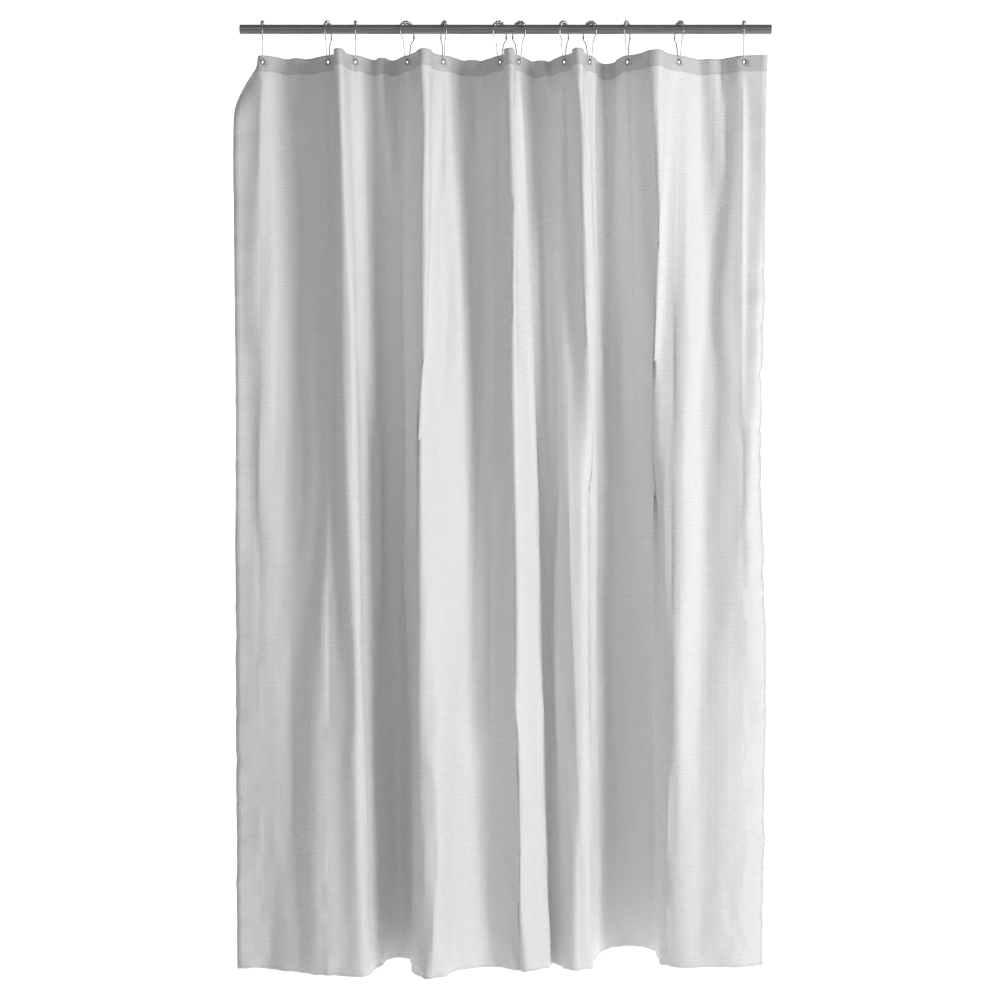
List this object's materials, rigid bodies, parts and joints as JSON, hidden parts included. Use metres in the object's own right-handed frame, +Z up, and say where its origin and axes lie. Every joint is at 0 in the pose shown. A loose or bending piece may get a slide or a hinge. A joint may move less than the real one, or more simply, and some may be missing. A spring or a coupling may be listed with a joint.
{
  "type": "shower curtain",
  "caption": "Shower curtain of pale waffle cloth gathered in folds on a straight round rod by pear-shaped wire hooks with roller balls.",
  "frame": {"origin": "on the rod's axis, half way along the rod", "axes": "+X along the rod, -Y towards the room side of the curtain, +Z up"},
  "size_m": [1.053, 0.2787, 1.8691],
  "materials": {
    "rod": "polished dark grey",
    "wire": "bright chrome",
    "ball": "bright chrome",
    "cloth": "satin waffle weave polyester",
    "hem": "doubled waffle weave polyester",
    "thread": "sewing thread"
  },
  "bodies": {
    "rod": {"rod_tube": "rod"},
    "curtain": {"curtain_cloth": "cloth", "heading_hem": "hem", "bottom_hem": "hem", "left_side_hem": "hem", "right_side_hem": "hem"},
    "hole_01": {"buttonhole_01": "thread"},
    "hook_01": {"hook_wire_01": "wire", "side_balls_01": "ball"},
    "ball_01": {"top_ball_01": "ball"},
    "hole_02": {"buttonhole_02": "thread"},
    "hook_02": {"hook_wire_02": "wire", "side_balls_02": "ball"},
    "ball_02": {"top_ball_02": "ball"},
    "hole_03": {"buttonhole_03": "thread"},
    "hook_03": {"hook_wire_03": "wire", "side_balls_03": "ball"},
    "ball_03": {"top_ball_03": "ball"},
    "hole_04": {"buttonhole_04": "thread"},
    "hook_04": {"hook_wire_04": "wire", "side_balls_04": "ball"},
    "ball_04": {"top_ball_04": "ball"},
    "hole_05": {"buttonhole_05": "thread"},
    "hook_05": {"hook_wire_05": "wire", "side_balls_05": "ball"},
    "ball_05": {"top_ball_05": "ball"},
    "hole_06": {"buttonhole_06": "thread"},
    "hook_06": {"hook_wire_06": "wire", "side_balls_06": "ball"},
    "ball_06": {"top_ball_06": "ball"},
    "hole_07": {"buttonhole_07": "thread"},
    "hook_07": {"hook_wire_07": "wire", "side_balls_07": "ball"},
    "ball_07": {"top_ball_07": "ball"},
    "hole_08": {"buttonhole_08": "thread"},
    "hook_08": {"hook_wire_08": "wire", "side_balls_08": "ball"},
    "ball_08": {"top_ball_08": "ball"},
    "hole_09": {"buttonhole_09": "thread"},
    "hook_09": {"hook_wire_09": "wire", "side_balls_09": "ball"},
    "ball_09": {"top_ball_09": "ball"},
    "hole_10": {"buttonhole_10": "thread"},
    "hook_10": {"hook_wire_10": "wire", "side_balls_10": "ball"},
    "ball_10": {"top_ball_10": "ball"},
    "hole_11": {"buttonhole_11": "thread"},
    "hook_11": {"hook_wire_11": "wire", "side_balls_11": "ball"},
    "ball_11": {"top_ball_11": "ball"},
    "hole_12": {"buttonhole_12": "thread"},
    "hook_12": {"hook_wire_12": "wire", "side_balls_12": "ball"},
    "ball_12": {"top_ball_12": "ball"}
  },
  "joints": [
    {"name": "curtain_swing", "type": "hinge", "parent": "rod", "child": "curtain", "pos_m": [0, 0, 0], "axis": [1, 0, 0], "range_deg": [-20, 20]},
    {"name": "draw", "type": "slide", "parent": "curtain", "child": "hole_01", "axis": [1, 0, 0], "range_m": [0, 0.6983], "deforming": ["curtain_cloth", "heading_hem", "bottom_hem", "left_side_hem", "right_side_hem"]},
    {"name": "hook_turn_01", "type": "hinge", "parent": "hole_01", "child": "hook_01", "pos_m": [-0.4805, 0, 0], "axis": [0, 0, 1], "range_deg": [-7.01, 0]},
    {"name": "ball_roll_01", "type": "hinge", "parent": "hook_01", "child": "ball_01", "pos_m": [-0.4805, 0, 0.014], "axis": [0.1219, -0.9925, 0], "continuous": true},
    {"name": "slide_02", "type": "slide", "parent": "curtain", "child": "hole_02", "axis": [1, 0, 0], "range_m": [0, 0.6077]},
    {"name": "hook_turn_02", "type": "hinge", "parent": "hole_02", "child": "hook_02", "pos_m": [-0.351, 0, 0], "axis": [0, 0, 1], "range_deg": [0, 14.01]},
    {"name": "ball_roll_02", "type": "hinge", "parent": "hook_02", "child": "ball_02", "pos_m": [-0.351, 0, 0.014], "axis": [-0.2419, -0.9703, 0], "continuous": true},
    {"name": "slide_03", "type": "slide", "parent": "curtain", "child": "hole_03", "axis": [1, 0, 0], "range_m": [0, 0.5695]},
    {"name": "hook_turn_03", "type": "hinge", "parent": "hole_03", "child": "hook_03", "pos_m": [-0.2965, 0, 0], "axis": [0, 0, 1], "range_deg": [-4.01, 0]},
    {"name": "ball_roll_03", "type": "hinge", "parent": "hook_03", "child": "ball_03", "pos_m": [-0.2965, 0, 0.014], "axis": [0.0698, -0.9976, 0], "continuous": true},
    {"name": "slide_04", "type": "slide", "parent": "curtain", "child": "hole_04", "axis": [1, 0, 0], "range_m": [0, 0.4981]},
    {"name": "hook_turn_04", "type": "hinge", "parent": "hole_04", "child": "hook_04", "pos_m": [-0.1945, 0, 0], "axis": [0, 0, 1], "range_deg": [0, 39.01]},
    {"name": "ball_roll_04", "type": "hinge", "parent": "hook_04", "child": "ball_04", "pos_m": [-0.1945, 0, 0.014], "axis": [-0.6293, -0.7771, 0], "continuous": true},
    {"name": "slide_05", "type": "slide", "parent": "curtain", "child": "hole_05", "axis": [1, 0, 0], "range_m": [0, 0.4477]},
    {"name": "hook_turn_05", "type": "hinge", "parent": "hole_05", "child": "hook_05", "pos_m": [-0.1225, 0, 0], "axis": [0, 0, 1], "range_deg": [-17.01, 0]},
    {"name": "ball_roll_05", "type": "hinge", "parent": "hook_05", "child": "ball_05", "pos_m": [-0.1225, 0, 0.014], "axis": [0.2924, -0.9563, 0], "continuous": true},
    {"name": "slide_06", "type": "slide", "parent": "curtain", "child": "hole_06", "axis": [1, 0, 0], "range_m": [0, 0.37]},
    {"name": "hook_turn_06", "type": "hinge", "parent": "hole_06", "child": "hook_06", "pos_m": [-0.0115, 0, 0], "axis": [0, 0, 1], "range_deg": [0, 40.01]},
    {"name": "ball_roll_06", "type": "hinge", "parent": "hook_06", "child": "ball_06", "pos_m": [-0.0115, 0, 0.014], "axis": [-0.6428, -0.766, 0], "continuous": true},
    {"name": "slide_07", "type": "slide", "parent": "curtain", "child": "hole_07", "axis": [1, 0, 0], "range_m": [0, 0.3434]},
    {"name": "hook_turn_07", "type": "hinge", "parent": "hole_07", "child": "hook_07", "pos_m": [0.0265, 0, 0], "axis": [0, 0, 1], "range_deg": [-38.01, 0]},
    {"name": "ball_roll_07", "type": "hinge", "parent": "hook_07", "child": "ball_07", "pos_m": [0.0265, 0, 0.014], "axis": [0.6157, -0.788, 0], "continuous": true},
    {"name": "slide_08", "type": "slide", "parent": "curtain", "child": "hole_08", "axis": [1, 0, 0], "range_m": [0, 0.2811]},
    {"name": "hook_turn_08", "type": "hinge", "parent": "hole_08", "child": "hook_08", "pos_m": [0.1155, 0, 0], "axis": [0, 0, 1], "range_deg": [0, 27.01]},
    {"name": "ball_roll_08", "type": "hinge", "parent": "hook_08", "child": "ball_08", "pos_m": [0.1155, 0, 0.014], "axis": [-0.454, -0.891, 0], "continuous": true},
    {"name": "slide_09", "type": "slide", "parent": "curtain", "child": "hole_09", "axis": [1, 0, 0], "range_m": [0, 0.2454]},
    {"name": "hook_turn_09", "type": "hinge", "parent": "hole_09", "child": "hook_09", "pos_m": [0.1665, 0, 0], "axis": [0, 0, 1], "range_deg": [-37.01, 0]},
    {"name": "ball_roll_09", "type": "hinge", "parent": "hook_09", "child": "ball_09", "pos_m": [0.1665, 0, 0.014], "axis": [0.6018, -0.7986, 0], "continuous": true},
    {"name": "slide_10", "type": "slide", "parent": "curtain", "child": "hole_10", "axis": [1, 0, 0], "range_m": [0, 0.1936]},
    {"name": "hook_turn_10", "type": "hinge", "parent": "hole_10", "child": "hook_10", "pos_m": [0.2405, 0, 0], "axis": [0, 0, 1], "range_deg": [0, 19.01]},
    {"name": "ball_roll_10", "type": "hinge", "parent": "hook_10", "child": "ball_10", "pos_m": [0.2405, 0, 0.014], "axis": [-0.3256, -0.9455, 0], "continuous": true},
    {"name": "slide_11", "type": "slide", "parent": "curtain", "child": "hole_11", "axis": [1, 0, 0], "range_m": [0, 0.1219]},
    {"name": "hook_turn_11", "type": "hinge", "parent": "hole_11", "child": "hook_11", "pos_m": [0.343, 0, 0], "axis": [0, 0, 1], "range_deg": [-21.01, 0]},
    {"name": "ball_roll_11", "type": "hinge", "parent": "hook_11", "child": "ball_11", "pos_m": [0.343, 0, 0.014], "axis": [0.3584, -0.9336, 0], "continuous": true},
    {"name": "slide_12", "type": "slide", "parent": "curtain", "child": "hole_12", "axis": [1, 0, 0], "range_m": [0, 0.0323]},
    {"name": "hook_turn_12", "type": "hinge", "parent": "hole_12", "child": "hook_12", "pos_m": [0.471, 0, 0], "axis": [0, 0, 1], "range_deg": [0, 7.01]},
    {"name": "ball_roll_12", "type": "hinge", "parent": "hook_12", "child": "ball_12", "pos_m": [0.471, 0, 0.014], "axis": [-0.1219, -0.9925, 0], "continuous": true}
  ],
  "couplings": [
    {"joint": "hook_turn_01", "follows": "draw", "rad_per_m": -0.17496},
    {"joint": "slide_02", "follows": "draw", "ratio": 0.87018},
    {"joint": "hook_turn_02", "follows": "draw", "rad_per_m": 0.34992},
    {"joint": "slide_03", "follows": "draw", "ratio": 0.81554},
    {"joint": "hook_turn_03", "follows": "draw", "rad_per_m": -0.099976},
    {"joint": "slide_04", "follows": "draw", "ratio": 0.71328},
    {"joint": "hook_turn_04", "follows": "draw", "rad_per_m": 0.97476},
    {"joint": "slide_05", "follows": "draw", "ratio": 0.6411},
    {"joint": "hook_turn_05", "follows": "draw", "rad_per_m": -0.4249},
    {"joint": "slide_06", "follows": "draw", "ratio": 0.52982},
    {"joint": "hook_turn_06", "follows": "draw", "rad_per_m": 0.99976},
    {"joint": "slide_07", "follows": "draw", "ratio": 0.49173},
    {"joint": "hook_turn_07", "follows": "draw", "rad_per_m": -0.94977},
    {"joint": "slide_08", "follows": "draw", "ratio": 0.40251},
    {"joint": "hook_turn_08", "follows": "draw", "rad_per_m": 0.67484},
    {"joint": "slide_09", "follows": "draw", "ratio": 0.35138},
    {"joint": "hook_turn_09", "follows": "draw", "rad_per_m": -0.92478},
    {"joint": "slide_10", "follows": "draw", "ratio": 0.27719},
    {"joint": "hook_turn_10", "follows": "draw", "rad_per_m": 0.47489},
    {"joint": "slide_11", "follows": "draw", "ratio": 0.17444},
    {"joint": "hook_turn_11", "follows": "draw", "rad_per_m": -0.52487},
    {"joint": "slide_12", "follows": "draw", "ratio": 0.046115},
    {"joint": "hook_turn_12", "follows": "draw", "rad_per_m": 0.17496}
  ]
}
